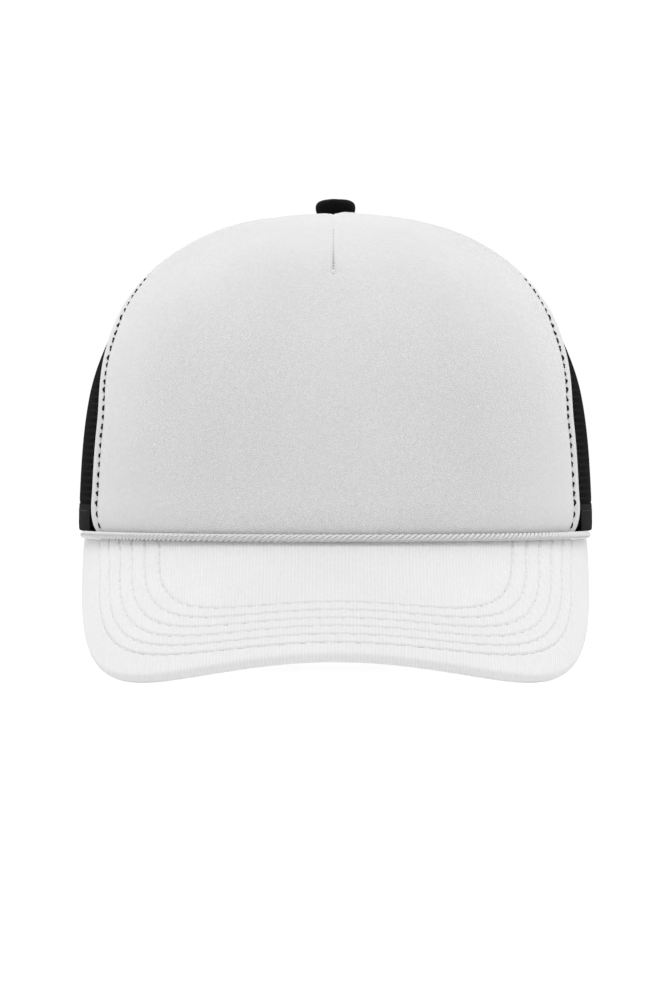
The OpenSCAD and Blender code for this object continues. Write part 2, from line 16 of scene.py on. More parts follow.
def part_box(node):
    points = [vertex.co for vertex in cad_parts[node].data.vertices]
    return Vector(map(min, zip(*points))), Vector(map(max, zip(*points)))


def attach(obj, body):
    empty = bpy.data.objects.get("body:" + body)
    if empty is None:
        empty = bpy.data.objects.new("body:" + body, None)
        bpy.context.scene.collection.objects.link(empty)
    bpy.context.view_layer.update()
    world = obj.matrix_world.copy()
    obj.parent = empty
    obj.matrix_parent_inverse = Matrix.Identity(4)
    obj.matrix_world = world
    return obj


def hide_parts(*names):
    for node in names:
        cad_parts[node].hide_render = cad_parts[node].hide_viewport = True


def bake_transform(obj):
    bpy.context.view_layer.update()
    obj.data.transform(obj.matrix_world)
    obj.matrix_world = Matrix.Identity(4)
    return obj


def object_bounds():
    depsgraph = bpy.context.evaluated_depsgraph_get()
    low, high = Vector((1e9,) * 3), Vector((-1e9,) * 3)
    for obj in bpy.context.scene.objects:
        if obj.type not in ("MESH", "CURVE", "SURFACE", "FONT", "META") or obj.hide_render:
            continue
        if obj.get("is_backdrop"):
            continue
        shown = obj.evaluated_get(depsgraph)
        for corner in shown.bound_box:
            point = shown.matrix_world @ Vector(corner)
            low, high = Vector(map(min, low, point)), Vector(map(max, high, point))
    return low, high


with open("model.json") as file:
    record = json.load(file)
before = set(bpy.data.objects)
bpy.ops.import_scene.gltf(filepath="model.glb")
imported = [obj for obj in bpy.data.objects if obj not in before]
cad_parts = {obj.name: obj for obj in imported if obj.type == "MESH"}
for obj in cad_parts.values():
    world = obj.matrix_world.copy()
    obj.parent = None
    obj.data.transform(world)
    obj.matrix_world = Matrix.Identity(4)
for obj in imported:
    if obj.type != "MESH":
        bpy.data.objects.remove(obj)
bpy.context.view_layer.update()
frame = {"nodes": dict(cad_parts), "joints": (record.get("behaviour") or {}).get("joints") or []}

MM = 0.001
TURN = 2 * np.pi
RANDOM = np.random.default_rng(7)

# The crown's surface, as in the CAD source, but for a longer, gentler lean at the seam's top
HALF_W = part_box("side_mesh_left")[1].x / MM
FRONT_LEN = -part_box("front_panel_fabric")[0].y / MM
REAR_LEN = 100.0
BUTTON_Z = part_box("button_cover")[0].z / MM
BUTTON_GAP = 0.25
CROWN_H = BUTTON_Z - BUTTON_GAP
BAND_H = 9.0
DOME_H = CROWN_H - BAND_H
PROFILE_UP = 3.0
PROFILE_ACROSS = 2.45
LEAN = 0.05
REAR_SQUARE = 2.3
FRONT_SEAM = math.radians(69.5)
SEAM_LEAN = math.radians(8.5)
LEAN_FROM = 35.0
SEAM_TOP_LEAN = math.radians(12.5)
TOP_LEAN_FROM = 60.0
LEAN_RISE = 35.0
REAR_SEAM = math.radians(121)

# The rear arch, as in the CAD source
ARCH_HALF = 41.0
ARCH_H = 48.0
ARCH_SQUARE = 2.6
BINDING_W = 6.0

# The visor, as in the CAD source
VISOR_SPREAD = 72.0
VISOR_REACH = 82.75
VISOR_HALF = VISOR_SPREAD * math.asin(VISOR_REACH / HALF_W)
VISOR_LEN = 66.0
VISOR_TILT = math.radians(30)
VISOR_SQUARE = 3.7
VISOR_TAPER = 1.4
VISOR_DROP = 2.6
VISOR_TURN = -30.0
VISOR_T = 3.4
VISOR_FLARE = 0.03
ROW_FIRST = 7.7
ROW_PITCH = 4.7
ROW_COUNT = 6
ROW_LAST = ROW_FIRST + (ROW_COUNT - 1) * ROW_PITCH

# The snap closure, as in the CAD source
STRAP_CY = 5.0
STRAP_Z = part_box("hole_strap")[0].z / MM
STRAP_H = (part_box("hole_strap")[1].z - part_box("hole_strap")[0].z) / MM
STRAP_T = 1.2
HOLE_STRAP_R = 92.1
PEG_STRAP_R = 90.6
STRAP_STEP = math.radians(4.9)
STRAP_COUNT = 7
STRAP_END = math.radians(3.2)
HOLE_R = 2.3
HOLE_TAB_DEPTH = 2.578
PEG_TAB_DEPTH = 4.078


# ---- crown surface


def spow(value, power):
    """Power of the size of a value, with its sign kept."""
    return np.sign(value) * np.abs(value) ** power


def bell(value, width):
    """Smooth bump, 1 at 0 and nearly gone at twice the width."""
    return np.exp(-((value / width) ** 2))


def ease(value):
    """Smooth rise from 0 to 1 while the value goes from 0 to 1."""
    share = np.clip(value, 0, 1)
    return share * share * (3 - 2 * share)


def packed(*values):
    """Values that share a grid, as the last axis of one array."""
    return np.stack(np.broadcast_arrays(*values), -1)


def unit(vectors):
    return vectors / np.linalg.norm(vectors, axis=-1, keepdims=True)


def rim(a):
    """The crown's outline on the lower edge."""
    rear = np.cos(a) < 0
    power = 2 / np.where(rear, REAR_SQUARE, 2.0)
    length = np.where(rear, REAR_LEN, FRONT_LEN)
    return HALF_W * spow(np.sin(a), power), -length * spow(np.cos(a), power)


def shrink(z):
    """The crown's width at height z as a share of its width at the lower edge."""
    u = np.clip((z - BAND_H) / DOME_H, 0, 1 - 1e-9)
    return (1 - u**PROFILE_UP) ** (1 / PROFILE_ACROSS) * (1 - LEAN * u)


def crown_normal(a, z):
    step = 1e-4
    x, y = rim(a)
    x0, y0 = rim(a - step)
    x1, y1 = rim(a + step)
    slope = (shrink(z + step) - shrink(z - step)) / (2 * step)
    return unit(packed(y1 - y0, x0 - x1, slope * ((x1 - x0) * y - (y1 - y0) * x)))


def crown(a, z, depth=0.0):
    """Point of the crown at angle a and height z, depth outside its surface."""
    a, z, depth = np.broadcast_arrays(np.asarray(a, float), z, depth)
    x, y = rim(a)
    scale = shrink(z)
    return np.stack([x * scale, y * scale, z], -1) + depth[..., None] * crown_normal(a, z)


# Heights along the crown's side from below its edge to its top, and the way up its wall to each
PROFILE_FOOT = -30.0
RISE = np.sin(np.linspace(0, 1, 4001) * np.pi / 2) ** (2 / PROFILE_UP)
PROFILE_Z = np.concatenate([[PROFILE_FOOT], BAND_H + DOME_H * RISE])
STEPS = np.hypot(np.diff(PROFILE_Z), HALF_W * np.diff(shrink(PROFILE_Z)))
PROFILE_V = np.concatenate([[0], np.cumsum(STEPS)])
PROFILE_V -= np.interp(0, PROFILE_Z, PROFILE_V)


def way_up(z):
    """Distance along the wall from the lower edge up to height z."""
    return np.interp(z, PROFILE_Z, PROFILE_V)


def height(v):
    """Height z of the place a distance v up the wall."""
    return np.interp(v, PROFILE_V, PROFILE_Z)


def reach(z):
    """Half width of the crown at height z, which turns an angle into a distance along the wall."""
    return HALF_W * shrink(z)


def height_at(radius):
    """Height at which the crown's half width has shrunk to a radius."""
    width = radius / HALF_W / (1 - LEAN)
    return BAND_H + DOME_H * (1 - width**PROFILE_ACROSS) ** (1 / PROFILE_UP)


def rear_angle(x, z=0.0):
    """Angle of the place on the crown's rear that is x to the side at height z."""
    share = np.clip(np.abs(x) / reach(z), 0, 1)
    return np.pi - np.sign(x) * np.arcsin(share ** (REAR_SQUARE / 2))


# Where the panels' cloth ends, under the button
PANEL_TOP_R = 4.0
PANEL_TOP = height_at(PANEL_TOP_R)


# ---- mesh building


def slab(outer, inner, uv):
    """Closed sheet between two grids of points, both [column, row, xyz]."""
    cols, rows = outer.shape[:2]
    count = cols * rows
    index = np.arange(count).reshape(cols, rows)
    corners = [index[:-1, :-1], index[1:, :-1], index[1:, 1:], index[:-1, 1:]]
    skin = np.stack(corners, -1).reshape(-1, 4)
    border = np.concatenate([index[:-1, 0], index[-1, :-1], index[:0:-1, -1], index[0, :0:-1]])
    after = np.roll(border, -1)
    rim_faces = np.stack([after, border, border + count, after + count], 1)
    faces = np.concatenate([skin, skin[:, ::-1] + count, rim_faces])
    points = np.concatenate([outer.reshape(-1, 3), inner.reshape(-1, 3)])
    flat = uv.reshape(-1, 2)
    return points, faces.tolist(), np.concatenate([flat, flat])


def tube(rings, uv):
    """Closed bar through rings of points, [station, place round the ring, xyz]."""
    stations, sides = rings.shape[:2]
    index = np.arange(stations * sides).reshape(stations, sides)
    after = np.roll(index, -1, 1)
    walls = np.stack([index[:-1], after[:-1], after[1:], index[1:]], -1).reshape(-1, 4)
    ends = [index[0, ::-1].tolist(), index[-1].tolist()]
    return rings.reshape(-1, 3), walls.tolist() + ends, uv.reshape(-1, 2)


def join(parts):
    points, faces, uvs = [], [], []
    for part_points, part_faces, part_uv in parts:
        start = sum(map(len, points))
        faces += [[index + start for index in face] for face in part_faces]
        points.append(part_points)
        uvs.append(part_uv)
    return np.concatenate(points), faces, np.concatenate(uvs)


def volume_sign(points, faces):
    """Above 0 when the faces look outward."""
    centre = points.mean(0)
    four = np.array([face[:4] if len(face) > 3 else face[:3] + face[-1:] for face in faces])
    a, b, c, d = (points[four[:, k]] - centre for k in range(4))
    return np.einsum("ij,ij->", a, np.cross(b, c) + np.cross(c, d))


def piece(name, part, slot, replaces=(), body="crown", sharp=50, look=None):
    """Makes an object of a part in its slot's look and hangs it on a body, unless that is None."""
    points, faces, uv = part
    if volume_sign(points, faces) < 0:
        faces = [face[::-1] for face in faces]
    mesh = bpy.data.meshes.new(name)
    mesh.from_pydata((points * MM).tolist(), [], faces)
    corner_vertex = np.zeros(len(mesh.loops), np.int32)
    mesh.loops.foreach_get("vertex_index", corner_vertex)
    layer = mesh.uv_layers.new(name="UVMap")
    layer.data.foreach_set("uv", uv[corner_vertex].astype(np.float32).ravel())
    mesh.shade_smooth()
    if sharp:
        mesh.set_sharp_from_angle(angle=math.radians(sharp))
    mesh.materials.append(LOOKS[look or slot])
    made = bpy.data.objects.new(name, mesh)
    bpy.context.scene.collection.objects.link(made)
    if body:
        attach(made, body)
    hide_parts(*replaces)
    return made


def both_sides(name, part, slot, node, **extra):
    """A piece on the left and its mirror image on the right."""
    points, faces, uv = part
    for hand, flip in (("left", 1), ("right", -1)):
        shape = (points * [flip, 1, 1], faces, uv)
        piece(f"{name}_{hand}", shape, slot, [f"{node}_{hand}"], **extra)


def along(path):
    """Distance from the start of a path to each of its points."""
    steps = np.linalg.norm(np.diff(path, axis=0), axis=1)
    return np.concatenate([[0], np.cumsum(steps)])


def place(path, distance, lengths):
    """Points at the given distances along a path."""
    return np.stack([np.interp(distance, lengths, path[:, k]) for k in range(path.shape[1])], -1)


def spokes(turn, across, up):
    """Unit vectors round a wheel that stands on the vectors across and up."""
    return np.cos(turn)[:, None] * across + np.sin(turn)[:, None] * up


def stitches(path, normals, pitch, length, radius, rise=0.15, jitter=0.06):
    """Separate stitches along a path on a surface: short round threads whose ends dip into it."""
    lengths = along(path)
    count = int(lengths[-1] / pitch)
    begin = (np.arange(count) + 0.5) * lengths[-1] / count - length / 2
    begin = begin + RANDOM.normal(0, jitter, count)
    rings = 9
    sides = 8
    near = 0.05
    f = np.linspace(0, 1, rings)
    distance = begin[:, None] + f * (length + RANDOM.normal(0, jitter, count)[:, None])
    middle = place(path, distance, lengths)
    normal = unit(place(normals, distance, lengths))
    inside = np.clip(distance, near, lengths[-1] - near)
    forward = unit(place(path, inside + near, lengths) - place(path, inside - near, lengths))
    side = unit(np.cross(normal, forward))
    at_end = np.abs(2 * f - 1) ** 5
    taper = np.sqrt(np.clip(1 - at_end, 0.03, 1))
    lift = rise - (rise + 2 * radius) * at_end
    middle = middle + normal * lift[None, :, None]
    turn = np.arange(sides) * TURN / sides
    wheel = spokes(turn, side[:, :, None], normal[:, :, None])
    grid = middle[:, :, None] + radius * taper[None, :, None, None] * wheel
    uv = packed(distance[:, :, None], turn * radius)
    return join([tube(grid[k], uv[k]) for k in range(count)])


def crown_row(angles, heights, depth, *sizes):
    """Stitches along a path on the crown."""
    return stitches(crown(angles, heights, depth), crown_normal(angles, heights), *sizes)


# ---- materials


class Look:
    """One procedural material, or world. The UV map holds millimetres along the cloth."""

    def __init__(self, name, kind=bpy.data.materials):
        self.owner = kind.new(name)
        self.owner.use_nodes = True
        self.tree = self.owner.node_tree
        self.tree.nodes.clear()

    def put(self, socket, value):
        if isinstance(value, bpy.types.NodeSocket):
            self.tree.links.new(value, socket)
        else:
            socket.default_value = value

    def node(self, kind, inputs=None, **settings):
        made = self.tree.nodes.new("ShaderNode" + kind)
        for key, value in settings.items():
            setattr(made, key, value)
        for key, value in (inputs or {}).items():
            self.put(made.inputs[key], value)
        return made

    def math(self, operation, a, b=0.0):
        return self.node("Math", {0: a, 1: b}, operation=operation).outputs[0]

    def uv(self):
        parts = self.node("SeparateXYZ", {0: self.node("UVMap").outputs[0]})
        return parts.outputs[0], parts.outputs[1]

    def wave(self, coordinate, period):
        return self.math("SINE", self.math("MULTIPLY", coordinate, TURN / period))

    def noise(self, size, detail=2.0):
        """Noise whose lumps are about size millimetres across, from 0 to 1."""
        spot = self.node("TexCoord").outputs["Object"]
        made = self.node("TexNoise", {"Vector": spot, "Scale": 1 / (size * MM), "Detail": detail})
        return made.outputs["Fac"]

    def sum(self, terms):
        """Sum of (value, weight) pairs."""
        total = None
        for value, weight in terms:
            scaled = self.math("MULTIPLY", value, weight)
            total = scaled if total is None else self.math("ADD", total, scaled)
        return total

    def blend(self, share, a, b):
        """Colour a at share 0 and b at 1, through a Mix node's colour sockets: 6, 7 and 2."""
        return self.node("Mix", {0: share, 6: (*a, 1), 7: (*b, 1)}, data_type="RGBA").outputs[2]

    def finish(self, color, roughness, relief, depth, **extra):
        """Shades with a relief depth millimetres high and returns the material."""
        bump = self.node("Bump", {"Height": relief, "Distance": depth * MM, "Strength": 1.0})
        inputs = {"Base Color": color, "Roughness": roughness, "Normal": bump.outputs[0]}
        for key, value in extra.items():
            inputs[key.replace("_", " ")] = value
        self.show(self.node("BsdfPrincipled", inputs))
        return self.owner

    def show(self, shader, kind="OutputMaterial"):
        self.node(kind, {0: shader.outputs[0]})


def plain_weave(look, u, v, pitch):
    return look.math("MULTIPLY", look.wave(u, pitch), look.wave(v, pitch))


def twill(look, u, v, pitch):
    return look.wave(look.math("ADD", u, v), pitch)


def ribs(look, u, v, pitch):
    """Ribs along v, crossed by a finer and fainter weave."""
    fine = look.wave(v, pitch * 0.45)
    return look.sum([(look.wave(u, pitch), 0.8), (fine, 0.2)])


def grey(level, blue=0.0):
    return (level, level, level + blue)


def shades(color, spread):
    """A darker and a lighter shade of a colour."""
    return [c * (1 - spread) for c in color], [min(1.0, c * (1 + spread)) for c in color]


# Sizes of a cloth's uneven yarn and of its faint patches, and its usual sheen
SLUB = 1.2
PATCH = 28.0
BRIGHT_GLOSS = {"Sheen_Weight": 0.2, "Sheen_Roughness": 0.5, "Specular_IOR_Level": 0.3}
DARK_GLOSS = {"Sheen_Weight": 0.01, "Sheen_Roughness": 0.5, "Specular_IOR_Level": 0.03}


def cloth(name, color, weave, pitch, depth, spread=0.3, roughness=0.85, **extra):
    """Woven cloth with a weave depth millimetres deep, uneven yarn and faint patches."""
    look = Look(name)
    u, v = look.uv()
    pattern = weave(look, u, v, pitch)
    slub = look.noise(SLUB, 3)
    relief = look.sum([(pattern, 0.55), (slub, 0.45)])
    mixed = look.sum([(pattern, 0.3), (slub, 0.9), (look.noise(PATCH, 2), 0.5)])
    tone = look.math("ADD", mixed, -0.2)
    rough = look.math("ADD", look.math("MULTIPLY", slub, 0.12), roughness - 0.06)
    dark, light = shades(color, spread)
    gloss = BRIGHT_GLOSS if color[0] > 0.1 else DARK_GLOSS
    return look.finish(look.blend(tone, dark, light), rough, relief, depth, **{**gloss, **extra})


def thread_look(name, color, ply=0.55, spread=0.15):
    """Twisted thread: slanting plies and a few fibres."""
    look = Look(name)
    u, v = look.uv()
    plies = look.wave(look.math("ADD", u, look.math("MULTIPLY", v, 0.6)), ply)
    fibres = look.noise(0.25, 3)
    relief = look.sum([(plies, 0.6), (fibres, 0.4)])
    tone = look.math("ADD", look.sum([(plies, 0.35), (fibres, 0.3)]), 0.35)
    dark, light = shades(color, spread)
    bright = color[0] > 0.1
    return look.finish(
        look.blend(tone, dark, light), 0.6, relief, 0.06,
        Sheen_Weight=0.15 if bright else 0.02, Specular_IOR_Level=0.4 if bright else 0.2,
    )


def foam_look(name, color, cell=0.6):
    """Foam with cells of a size in millimetres and soft lumps."""
    look = Look(name)
    spot = look.node("TexCoord").outputs["Object"]
    cells = look.node("TexVoronoi", {"Vector": spot, "Scale": 1 / (cell * MM)})
    lumps = look.noise(4, 3)
    relief = look.sum([(cells.outputs["Distance"], 0.6), (lumps, 0.4)])
    dark, light = shades(color, 0.06)
    return look.finish(look.blend(lumps, dark, light), 0.95, relief, 0.15, Sheen_Weight=0.2)


def plastic_look(name, color, roughness=0.38):
    """Moulded plastic with a fine grain and broad smears."""
    look = Look(name)
    grain = look.noise(0.35, 3)
    smears = look.noise(9, 2)
    rough = look.math("ADD", look.sum([(grain, 0.12), (smears, 0.16)]), roughness - 0.12)
    dark, light = shades(color, 0.15)
    return look.finish(look.blend(smears, dark, light), rough, grain, 0.015)


def metal_look(name):
    look = Look(name)
    brushed = look.noise(0.5, 4)
    rough = look.math("ADD", look.math("MULTIPLY", brushed, 0.25), 0.25)
    tone = look.blend(brushed, grey(0.62, 0.01), grey(0.8, 0.01))
    return look.finish(tone, rough, brushed, 0.02, Metallic=1.0)


BLACK = grey(0.010, 0.001)
SHEEN = {"Sheen_Weight": 0.6, "Sheen_Roughness": 0.35}
MATT = {"Sheen_Weight": 0.0, "Specular_IOR_Level": 0.0}

# Keyed by slot, but for the dart's thread: white thread in the shade of its fold
LOOKS = {
    "panel_fabric": cloth("white_panel_cloth", grey(0.8, 0.005), plain_weave, 0.8, 0.12, 0.09, **SHEEN),
    "visor_fabric": cloth("ribbed_visor_cloth", grey(0.87, 0.005), ribs, 0.95, 0.11, 0.055, **SHEEN),
    "mesh_fabric": cloth("black_mesh_yarn", grey(0.021, 0.001), plain_weave, 0.35, 0.02, **MATT),
    "tape_fabric": cloth("black_twill_tape", BLACK, twill, 0.5, 0.08),
    "sweatband_fabric": cloth("black_cotton_band", grey(0.013, 0.001), twill, 0.6, 0.08, 0.25),
    "binding_fabric": cloth("black_bias_binding", BLACK, plain_weave, 0.5, 0.08),
    "button_fabric": cloth("black_button_cloth", grey(0.006, 0.0005), plain_weave, 0.5, 0.07),
    "label_fabric": cloth("white_satin_label", grey(0.82, -0.01), twill, 0.3, 0.02, 0.03, 0.45),
    "white_thread": thread_look("white_thread", grey(0.86)),
    "dart_thread": thread_look("shaded_dart_thread", grey(0.24)),
    "black_thread": thread_look("black_thread", grey(0.005)),
    "cord_yarn": thread_look("white_cord_yarn", grey(0.88), ply=0.5, spread=0.06),
    "panel_foam": foam_look("white_foam", grey(0.78, -0.02)),
    "padding_foam": foam_look("grey_padding", grey(0.62), 0.3),
    "strap_plastic": plastic_look("black_strap_plastic", grey(0.014, 0.001)),
    "visor_board": plastic_look("white_board_plastic", grey(0.7), 0.6),
    "button_metal": metal_look("pressed_metal"),
}


# ---- front panel

STITCH_PITCH = 3.75
EDGE_ROLL = 1.7
SEAM_CURL = math.radians(1.6)
DART_Z = 83.5
DART_X = -0.7
DART_TOP_Z = 99.0
FABRIC_T = 0.6
PANEL_FOOT = -3.6


def seam_line(z):
    """Angle of the front panel's seam, which leans back with height."""
    lean = SEAM_LEAN * ease((z - LEAN_FROM) / LEAN_RISE)
    return FRONT_SEAM + lean + SEAM_TOP_LEAN * ease((z - TOP_LEAN_FROM) / LEAN_RISE)


def front_seam(z):
    """The panel's own edge, which curls forward just above the cord."""
    return seam_line(z) - SEAM_CURL * np.exp(-np.maximum(z, -1) / 2.2)


def edge_stitch(z):
    """Distance from the panel's edge in to its black stitches, widest two thirds of the way up."""
    low, middle, top = 5.0, 7.5, 2.8
    wide = low + (middle - low) * ease((z - 48) / 24) - (middle - top) * ease((z - 76) / 20)
    return np.minimum(wide, 0.11 * reach(z))


def slack(z):
    """How far the soft mesh lies inside the crown's surface: at its hem and at mid height."""
    at_hem = 1 - ease((z - BAND_H + 2) / 4)
    mid_height = ease((z - 45) / 25) * (1 - ease((z - 95) / 10))
    return 0.5 * at_hem + 0.9 * mid_height


# The panel's reliefs below are heights in millimetres. Each bell has its place and its width.


def edge_relief(edge, v, z):
    """The rolled edge, a swell beside it, and the groove and the slope in from its stitches."""
    over = np.clip(EDGE_ROLL - edge, 0, EDGE_ROLL)
    inner = edge - edge_stitch(z)
    pucker = 0.8 + 0.2 * np.cos(v * TURN / STITCH_PITCH)
    relief = np.sqrt(EDGE_ROLL**2 - over**2) - EDGE_ROLL
    relief += 0.3 * bell(edge - 2.2, 1.3)
    relief -= 0.55 * pucker * bell(inner, 0.7)
    return relief - 0.35 * np.exp(-np.maximum(inner, 0) / 5) * (inner > 0)


def dart_relief(x, v):
    """The dart: a seam that fades upward between two swells, with a dimple at its lower end."""
    up = v - way_up(DART_Z)
    across = x - DART_X
    sewn = ease(up / 2.5) * (1 - 0.75 * ease((up - 5) / 14))
    seam = 0.25 * bell(np.abs(across) - 2.4, 2.0) - 0.85 * bell(across, 0.5)
    return sewn * seam - 0.7 * bell(np.hypot(across, up - 1.2), 1.7)


def top_relief(a, x, radius):
    """The fold in front of the button, which the dart splits, and the dip under the button."""
    fold = 0.7 * ease((x + 0.5) / 4) * ease((np.cos(a) - 0.4) / 0.35) - 0.1
    split = 2.4 * bell(x + 1.35, 1.2) * bell(radius - 6.5, 6.0)
    return fold * bell(radius - 8.0, 2.6) - split - 0.7 * (radius < 6.5)


def panel_relief(a, z):
    """How far the padded front panel stands off the crown's surface."""
    v = way_up(z)
    radius = reach(z)
    x = a * radius
    edge = (front_seam(z) - np.abs(a)) * radius
    relief = edge_relief(edge, v, z) + dart_relief(x, v) + top_relief(a, x, radius)
    pulled_in = 1.7 * np.exp(-np.maximum(v + 1.2, 0) / 2.6)
    above_cord = 0.25 * bell(v - 7, 4)
    waves = 0.12 * np.sin(x / 11 + 0.7) * np.sin(v / 17 + 0.4)
    return relief - pulled_in + above_cord + waves


def panel_columns():
    """Places across the front panel, from -1 to 1, closer together at the dart and the seams."""
    half = FRONT_SEAM * HALF_W
    dart = np.concatenate([np.arange(0, 1.5, 0.15), np.arange(1.5, 5, 0.45)])
    edge = np.linspace(half - 7.5, half, 26)
    share = np.concatenate([dart, np.arange(5, half - 8, 1.7), edge]) / half
    return np.concatenate([-share[:0:-1], share])


def front_panel():
    share = panel_columns()[:, None]
    fine_top = 8
    fine = np.linspace(PANEL_FOOT, fine_top, 24)[:-1]
    v = np.concatenate([fine, np.linspace(fine_top, way_up(PANEL_TOP), 190)])[None, :]
    z = height(v) + 0 * share
    a = share * front_seam(z)
    relief = panel_relief(a, z)
    outer = crown(a, z, relief)
    inner = crown(a * (1 - 0.35 / np.maximum(reach(z), 5)), z, relief - FABRIC_T)
    part = slab(outer, inner, packed(a * reach(z), way_up(z)))
    piece("front_panel_cloth", part, "panel_fabric", ["front_panel_fabric"])


def front_foam():
    """Foam behind the panel, thinner towards its edges, which stop short of the seams."""
    foot = 1.0
    share = np.linspace(-1, 1, 81)[:, None]
    v = np.linspace(foot, way_up(PANEL_TOP) - 0.5, 90)[None, :]
    z = height(v) + 0 * share
    seam_gap = np.clip(6.9 / reach(z), 0, math.radians(29))
    a = share * (seam_line(z) - seam_gap)
    edge = np.minimum((1 - np.abs(share)) * FRONT_SEAM * reach(z), v - foot)
    thin = 0.9 * (1 - ease(edge / 4))
    lumps = 0.12 * np.sin(a * 21) * np.sin(v / 7)
    outer = crown(a, z, -0.85 - 0.3 * thin)
    inner = crown(a, z, -3.25 + thin + lumps)
    part = slab(outer, inner, packed(a * reach(z), way_up(z)))
    piece("front_foam", part, "panel_foam", ["front_panel_foam"])


def front_stitching():
    for side, name in ((1, "left"), (-1, "right")):
        v = np.linspace(0.6, way_up(height_at(13)), 400)
        z = height(v)
        a = side * (front_seam(z) - edge_stitch(z) / reach(z))
        sunk = 0.6 * ease((z - 83) / 5)
        row = crown_row(a, z, panel_relief(a, z) - sunk, STITCH_PITCH, 2.8, 0.42, 0.2, 0.12)
        piece(f"panel_stitches_{name}", row, "black_thread", [f"panel_stitching_{name}"])
    v = np.linspace(way_up(DART_Z) + 0.4, way_up(DART_TOP_Z), 300)
    z = height(v)
    a = DART_X / reach(z)
    sunk = 0.06 + 0.2 * ease((v - v[0] - 3) / 12)
    row = crown_row(a, z, panel_relief(a, z) - sunk, 1.25, 0.6, 0.3, 0.04, 0.05)
    piece("dart_stitches", row, "white_thread", ["dart_stitching"], look="dart_thread")


# ---- mesh panels

CELL = 2.6
HEX_SIDES = 12
# The rings of a cell from its outer face in: share of the way from hole to outline, and depth
CELL_RINGS = [(1.0, -0.1), (0.45, -0.2), (0.0, -0.52), (1.0, -0.9)]
MESH_FOOT = 3.0
SEAM_TUCK = 0.012
TAPE_HALF = 5.6
ROW_STEP = 3.2


def rear_seam(z):
    return REAR_SEAM + 0 * z


def back_seam(z):
    return np.pi + 0 * z


def hex_cells(a0, a1):
    """Centres of the mesh's cells, as distances across and up the flat panel."""
    half = (a1 - a0) / 2 * HALF_W
    rows = np.arange(MESH_FOOT, way_up(PANEL_TOP), CELL * math.sqrt(3) / 2)
    cols = np.arange(-math.ceil(half / CELL) - 1, math.ceil(half / CELL) + 2) * CELL
    u, v = np.meshgrid(cols, rows, indexing="ij")
    u = u + (np.arange(len(rows)) % 2) * CELL / 2
    return np.stack([u.ravel(), v.ravel()], 1)


def hex_ring(share):
    """Outline of a cell at share 1, closing in on its round hole at share 0."""
    angle = np.arange(HEX_SIDES) * TURN / HEX_SIDES
    corner = np.arange(HEX_SIDES) % 2 == 1
    outline = np.where(corner, CELL / math.sqrt(3), CELL / 2)
    hole = np.where(corner, 0.375, 0.335) * CELL
    radius = hole + (outline - hole) * share
    return np.stack([radius * np.cos(angle), radius * np.sin(angle)], 1)


def lattice(first_seam, last_seam):
    """Open hexagonal mesh between two seams, given as their angle at each height, and clear of the
    arch."""
    centres = hex_cells(first_seam(0.0), last_seam(0.0))
    outline = centres[:, None] + hex_ring(1.0)

    def angle_of(points):
        z = height(points[..., 1])
        return (first_seam(z) + last_seam(z)) / 2 + points[..., 0] / reach(z)

    a = angle_of(outline)
    z = height(outline[..., 1])
    inside = (a > first_seam(z)) & (a < last_seam(z)) & (outline[..., 1] < way_up(PANEL_TOP))
    wanted = inside.any(1) & clear_of_arch(crown(angle_of(centres), height(centres[:, 1])))
    centres = centres[wanted]
    rings = []
    for share, out in CELL_RINGS:
        ring = centres[:, None] + hex_ring(share)
        rings.append(packed(ring[..., 0], ring[..., 1], out))
    grid = np.stack(rings, 1)
    flat = grid.reshape(-1, 3)
    rounded = np.round(flat * 50).astype(int)
    _, first, inverse = np.unique(rounded, axis=0, return_index=True, return_inverse=True)
    faces = cell_faces(inverse.reshape(grid.shape[:3]), inside[wanted].all(1))
    used = flat[first]
    z = height(np.minimum(used[:, 1], way_up(PANEL_TOP)))
    low = first_seam(z)
    high = last_seam(z)
    a = np.clip((low + high) / 2 + used[:, 0] / reach(z), low, high)
    return without_slivers(crown(a, z, used[:, 2] - slack(z)), faces, used[:, :2])


def cell_faces(index, whole):
    """Faces round the holes of whole cells, and flat closed faces for cells cut by a seam."""
    after = np.roll(index, -1, 2)

    def wall(cells, low, high):
        corners = [index[cells, low], after[cells, low], after[cells, high], index[cells, high]]
        return np.stack(corners, -1).reshape(-1, 4).tolist()

    walls = wall(whole, 0, 1) + wall(whole, 1, 2) + wall(whole, 2, 3) + wall(~whole, 0, 1)
    return walls + index[~whole, 1].tolist() + index[~whole, 3, ::-1].tolist()


def clear_of_arch(at):
    """True for points that are outside the arch's outline by a cell's width or so."""
    x = np.abs(at[:, 0]) / ARCH_HALF
    z = np.maximum(at[:, 2], 0) / ARCH_H
    return x**ARCH_SQUARE + z**ARCH_SQUARE > (1 + 3.2 / ARCH_HALF) ** ARCH_SQUARE


def without_slivers(points, faces, uv):
    """Drops the faces that closed up against a seam."""
    kept = []
    for face in faces:
        corners = points[face]
        normal = np.cross(corners - corners[0], np.roll(corners, -1, 0) - corners[0]).sum(0)
        if normal @ normal > 1e-8:
            kept.append(face)
    return points, kept, uv


def mesh_panels():
    side = lattice(lambda z: seam_line(z) - SEAM_TUCK, rear_seam)
    back = lattice(rear_seam, back_seam)
    both_sides("side_open_mesh", side, "mesh_fabric", "side_mesh", sharp=None)
    both_sides("back_open_mesh", back, "mesh_fabric", "back_mesh", sharp=None)


